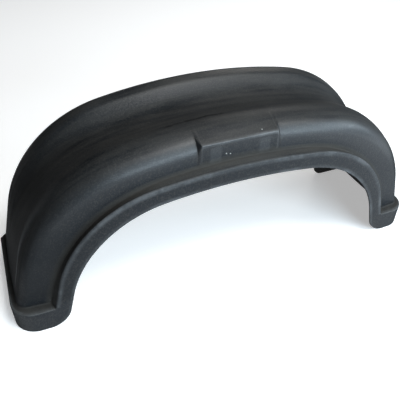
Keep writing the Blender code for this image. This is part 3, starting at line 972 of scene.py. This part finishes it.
def wear_and_reflection_marks_group(pad, chip_size):
    """Marks at fixed places, each from 0 to 1. Patches: two rubbed patches on the lamp pad's face,
    one near each end, where a lamp has pressed. Chips: small spots with a soft edge. Streak: a
    painted dark reflection, a broken line in the trough left of the middle that wanders a little."""
    n = Group("wear_marks", ["Place"], [], ["Patches", "Chips", "Streak"])
    place = n.given["Place"]
    along, across, height = n.parts(place)

    off = n.size(n.math("SUBTRACT", n.size(along), pad.patch_place))
    beside = n.ramp(off, *(pad.patch_half * share for share in PATCH_BESIDE))
    below = n.ramp(height, *(pad.top - drop for drop in PATCH_TOP))
    above = n.ramp(height, *(pad.top - drop for drop in PATCH_FOOT))
    front = n.ramp(across, *PATCH_FACE)
    n.give("Patches", n.times(beside, below, above, front))

    chips = 0.0
    for chip in CHIPS:
        away = n.add("ShaderNodeVectorMath", {"operation": "DISTANCE"}, i0=place, i1=chip)["Value"]
        chips = n.larger(chips, n.ramp(away, chip_size, chip_size * CHIP_CORE))
    n.give("Chips", chips)

    # Painted dark reflection: a broken dark line in the trough
    wander = n.noise(place, WANDER_CELLS, detail=4.0, roughness=0.6)
    off = n.size(n.scaled(wander, STREAK_WANDER, n.math("SUBTRACT", across, STREAK_Y)))
    near = n.ramp(off, *STREAK_WIDTH)
    within = n.ramp(n.size(n.math("SUBTRACT", along, STREAK_X)), *STREAK_LENGTH)
    broken = n.ramp(n.noise(place, STREAK_CELLS), 0.33, 0.56)
    n.give("Streak", n.times(near, within, broken))
    return n.tree


def plastic_material(settings, pad):
    """Worn charcoal plastic with painted light: shade in the hollow corners and with the road film
    on the legs, highlight with the rubbed edges and crest lines, and a dark reflection in the
    trough.
    Each layer is a colour laid over the last by its share, and a change of roughness by the same
    share."""
    material, n, shader = new_material("worn_plastic")
    place = n.add("ShaderNodeTexCoord")["Object"]
    along = n.add("ShaderNodeUVMap", {"uv_map": "flow"})[0]
    grain = n.use(grain_group(), Place=place, Size=settings.grain_size)
    mottle = grain["Mottle"]
    dust = n.use(dust_group(), Flow=along, Mottle=mottle, Settled=n.value_of("settled"))["Mask"]
    # Road film on the legs, partly painted shade
    film = n.use(film_and_shade_group(), Place=place, Mottle=mottle)["Mask"]
    scuff = n.use(scuff_and_highlight_group(), Place=place, Flow=along, Edge=n.value_of("edge"),
                  Line=n.value_of("line"))
    marks = n.use(wear_and_reflection_marks_group(pad, settings.chip_size), Place=place)

    pits = n.times(grain["Pits"], settings.pit_dust)
    dust = n.times(dust, settings.dust_amount)
    film = n.times(film, settings.film_and_shade_amount)
    # Painted shade in the hollow corners, by how sharply the surface bends inwards
    hollow = n.times(n.value_of("hollow"), settings.crease_shade_amount)
    # Rubbed plastic with painted highlight on the edges and crests, and the rubbed patches on the
    # pad
    rubbed = n.larger(scuff["Mask"], n.times(marks["Patches"], settings.patch_amount))
    rubbed = n.times(rubbed, settings.scuff_and_highlight_amount)
    rubbed = n.larger(rubbed, n.times(scuff["Lines"], settings.line_and_highlight_amount))

    lightness = n.scaled(mottle, settings.mottle_amount, 1.0 - settings.mottle_amount / 2)
    shade = n.add("ShaderNodeHueSaturation", Color=(*settings.base, 1.0), Value=lightness)[0]
    # Colours laid in order: pale dust in the grain's pits, dust, painted shade in the hollow
    # corners, road film with painted shade, the painted dark reflection in the trough, rubbed
    # plastic with painted highlight, and the pale chips
    for share, over in ((pits, settings.dust), (dust, settings.dust), (hollow, settings.grime),
                        (film, settings.film), (marks["Streak"], settings.film),
                        (rubbed, settings.scuff), (marks["Chips"], settings.chip)):
        shade = n.blend(share, shade, (*over, 1.0))

    waxed = n.times(n.value_of("polish"), n.math("SUBTRACT", 1.0, film))
    flat = n.ramp(n.add("ShaderNodeLayerWeight")["Facing"], FLAT_FROM, FLAT_FULL)
    rough = settings.roughness
    for share, change in ((mottle, settings.mottle_roughness), (dust, settings.dust_roughness),
                          (hollow, settings.crease_shade_roughness), (waxed, -settings.polish),
                          (n.larger(film, marks["Streak"]), settings.film_roughness),
                          (flat, settings.flat_roughness)):
        rough = n.scaled(share, change, rough)
    bump = n.add("ShaderNodeBump", Strength=settings.grain, Distance=0.001, Height=grain["Height"])
    n.fill(shader, Base_Color=shade, Roughness=rough, Specular_IOR_Level=settings.shine,
           Coat_Weight=n.times(waxed, settings.sheen), Coat_Roughness=settings.sheen_roughness,
           Normal=bump[0])
    return material


# Studio

# Each lamp's name, place, size and tint. Its power is the setting of the same name.
TINTS = {"cool": (0.74, 0.89, 1.0), "plain": (1.0, 1.0, 1.0), "warm": (1.0, 0.97, 0.92)}
LAMPS = (
    ("key", (1.22, -0.705, 0.66), (0.5, 0.6), "cool"),
    ("front", (0.67, -2.20, 0.85), (1.9, 0.5), "cool"),
    ("upper", (0.48, -1.78, 1.69), (1.3, 0.8), "cool"),
    ("low", (1.46, -1.87, 0.48), (0.6, 0.6), "cool"),
    ("high", (1.39, -0.80, 1.93), (0.6, 0.6), "warm"),
    ("slope", (0.46, -0.99, 2.29), (0.7, 0.7), "plain"),
    ("top", (0.62, 0.0, 2.47), (0.8, 0.8), "warm"),
    ("back", (1.22, 1.57, 1.49), (0.8, 0.7), "warm"),
)

# The point that the lamps face, and the width of the camera's frame in millimetres
AIM = Vector((0.0, 0.0, 0.15))
FRAME_WIDTH = 36.0


def in_scene(name, data):
    """A new object in the scene."""
    item = bpy.data.objects.new(name, data)
    bpy.context.scene.collection.objects.link(item)
    return item


def softbox(name, place, size, power, tint):
    """A soft lamp that faces the middle of the mudguard."""
    data = bpy.data.lights.new(name, "AREA")
    data.shape = "RECTANGLE"
    data.size, data.size_y = size
    data.energy = power
    data.color = tint
    lamp = in_scene(name, data)
    lamp.location = place
    lamp.rotation_euler = (AIM - lamp.location).to_track_quat("-Z", "Y").to_euler()


def make_camera(settings):
    """The camera's axes come from its turn, pitch and roll, as the columns right, up and back."""
    turn, pitch = settings.camera_turn, settings.camera_pitch
    right = Vector((math.cos(turn), -math.sin(turn), 0.0))
    ahead = Vector((math.sin(turn) * math.cos(pitch), math.cos(turn) * math.cos(pitch),
                    -math.sin(pitch)))
    up = right.cross(ahead)
    roll = settings.camera_roll
    right, up = (math.cos(roll) * right + math.sin(roll) * up,
                 math.cos(roll) * up - math.sin(roll) * right)
    data = bpy.data.cameras.new("camera")
    data.sensor_width = FRAME_WIDTH
    data.lens = settings.lens
    data.dof.use_dof = False
    camera = in_scene("camera", data)
    axes = Matrix((right, up, -ahead)).transposed().to_4x4()
    camera.matrix_world = Matrix.Translation(settings.camera_place) @ axes
    bpy.context.scene.camera = camera


def floor_material(settings):
    """A pale matt floor. Where camera, mirror or glass rays see it, it also glows, enough to read
    white outside the shadow. The glow doesn't light the object."""
    material, n, shader = new_material("floor")
    rays = n.add("ShaderNodeLightPath")
    seen = n.larger(rays["Is Camera Ray"], rays["Is Glossy Ray"])
    seen = n.larger(seen, rays["Is Transmission Ray"])
    n.fill(shader, Base_Color=(*[settings.floor_shade] * 3, 1.0), Roughness=0.9,
           Specular_IOR_Level=0.0, Emission_Color=(1.0, 1.0, 1.0, 1.0),
           Emission_Strength=n.times(seen, settings.floor_glow))
    return material


def make_world(settings):
    world = bpy.data.worlds.new("surroundings")
    world.use_nodes = True
    background = world.node_tree.nodes["Background"]
    background.inputs["Color"].default_value = (1.0, 1.0, 1.0, 1.0)
    background.inputs["Strength"].default_value = settings.world_level
    bpy.context.scene.world = world


# Operators

class MUDGUARD_OT_shell(Operator):
    """Build the moulded shell and its plastic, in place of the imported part"""
    bl_idname = "mudguard.shell"
    bl_label = "Build shell"

    def execute(self, context):
        settings = context.scene.mudguard
        low, high = (Vector(corner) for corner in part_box(NODE))
        moulding = Moulding(settings, high - low)
        shell = in_scene("mudguard_shell", shell_mesh("mudguard_shell", moulding))
        shell.data.materials.append(plastic_material(settings.plastic, settings.pad))
        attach(shell, "root")
        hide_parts(NODE)
        return {"FINISHED"}


class MUDGUARD_OT_stage(Operator):
    """Build the floor, the lamps, the surroundings and the camera"""
    bl_idname = "mudguard.stage"
    bl_label = "Build stage"

    def execute(self, context):
        settings = context.scene.mudguard.studio
        half = settings.floor_size
        mesh = bpy.data.meshes.new("floor")
        square = [(-half, -half, 0), (half, -half, 0), (half, half, 0), (-half, half, 0)]
        mesh.from_pydata(square, [], [(0, 1, 2, 3)])
        mesh.materials.append(floor_material(settings))
        floor = in_scene("floor", mesh)
        for name, where, size, tint in LAMPS:
            softbox(name, where, size, getattr(settings, name + "_power"), TINTS[tint])
        make_world(settings)
        make_camera(settings)
        context.scene.view_settings.view_transform = "Standard"
        return {"FINISHED"}


class MudguardSettings(PropertyGroup):
    """All settings of the mudguard scene"""
    opening: PointerProperty(type=OpeningSettings)
    body: PointerProperty(type=BodySettings)
    foot: PointerProperty(type=FootSettings)
    pad: PointerProperty(type=PadSettings)
    detail: PointerProperty(type=DetailSettings)
    plastic: PointerProperty(type=PlasticSettings)
    studio: PointerProperty(type=StudioSettings)


class MUDGUARD_PT_panel(Panel):
    """Sidebar panel with the builders and the main settings"""
    bl_idname = "MUDGUARD_PT_panel"
    bl_label = "Mudguard"
    bl_space_type = "VIEW_3D"
    bl_region_type = "UI"
    bl_category = "Mudguard"

    def draw(self, context):
        settings = context.scene.mudguard
        self.layout.operator(MUDGUARD_OT_shell.bl_idname)
        self.layout.operator(MUDGUARD_OT_stage.bl_idname)
        for group in (settings.opening, settings.body, settings.foot, settings.pad, settings.detail,
                      settings.plastic, settings.studio):
            box = self.layout.box()
            for key in group.__annotations__:
                box.prop(group, key, text=key.replace("_", " ").capitalize())


GROUPS = (OpeningSettings, BodySettings, FootSettings, PadSettings, DetailSettings, PlasticSettings,
          StudioSettings, MudguardSettings)
OPERATORS = (MUDGUARD_OT_shell, MUDGUARD_OT_stage)
CLASSES = (*GROUPS, *OPERATORS, MUDGUARD_PT_panel)


def register():
    for item in CLASSES:
        bpy.utils.register_class(item)
    bpy.types.Scene.mudguard = PointerProperty(type=MudguardSettings)


def unregister():
    del bpy.types.Scene.mudguard
    for item in reversed(CLASSES):
        bpy.utils.unregister_class(item)


def corners(bounds):
    return [[float(value) for value in corner] for corner in bounds]


def main():
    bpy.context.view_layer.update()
    register()
    bpy.ops.mudguard.shell()
    bpy.ops.mudguard.stage()


if __name__ == "__main__":
    main()
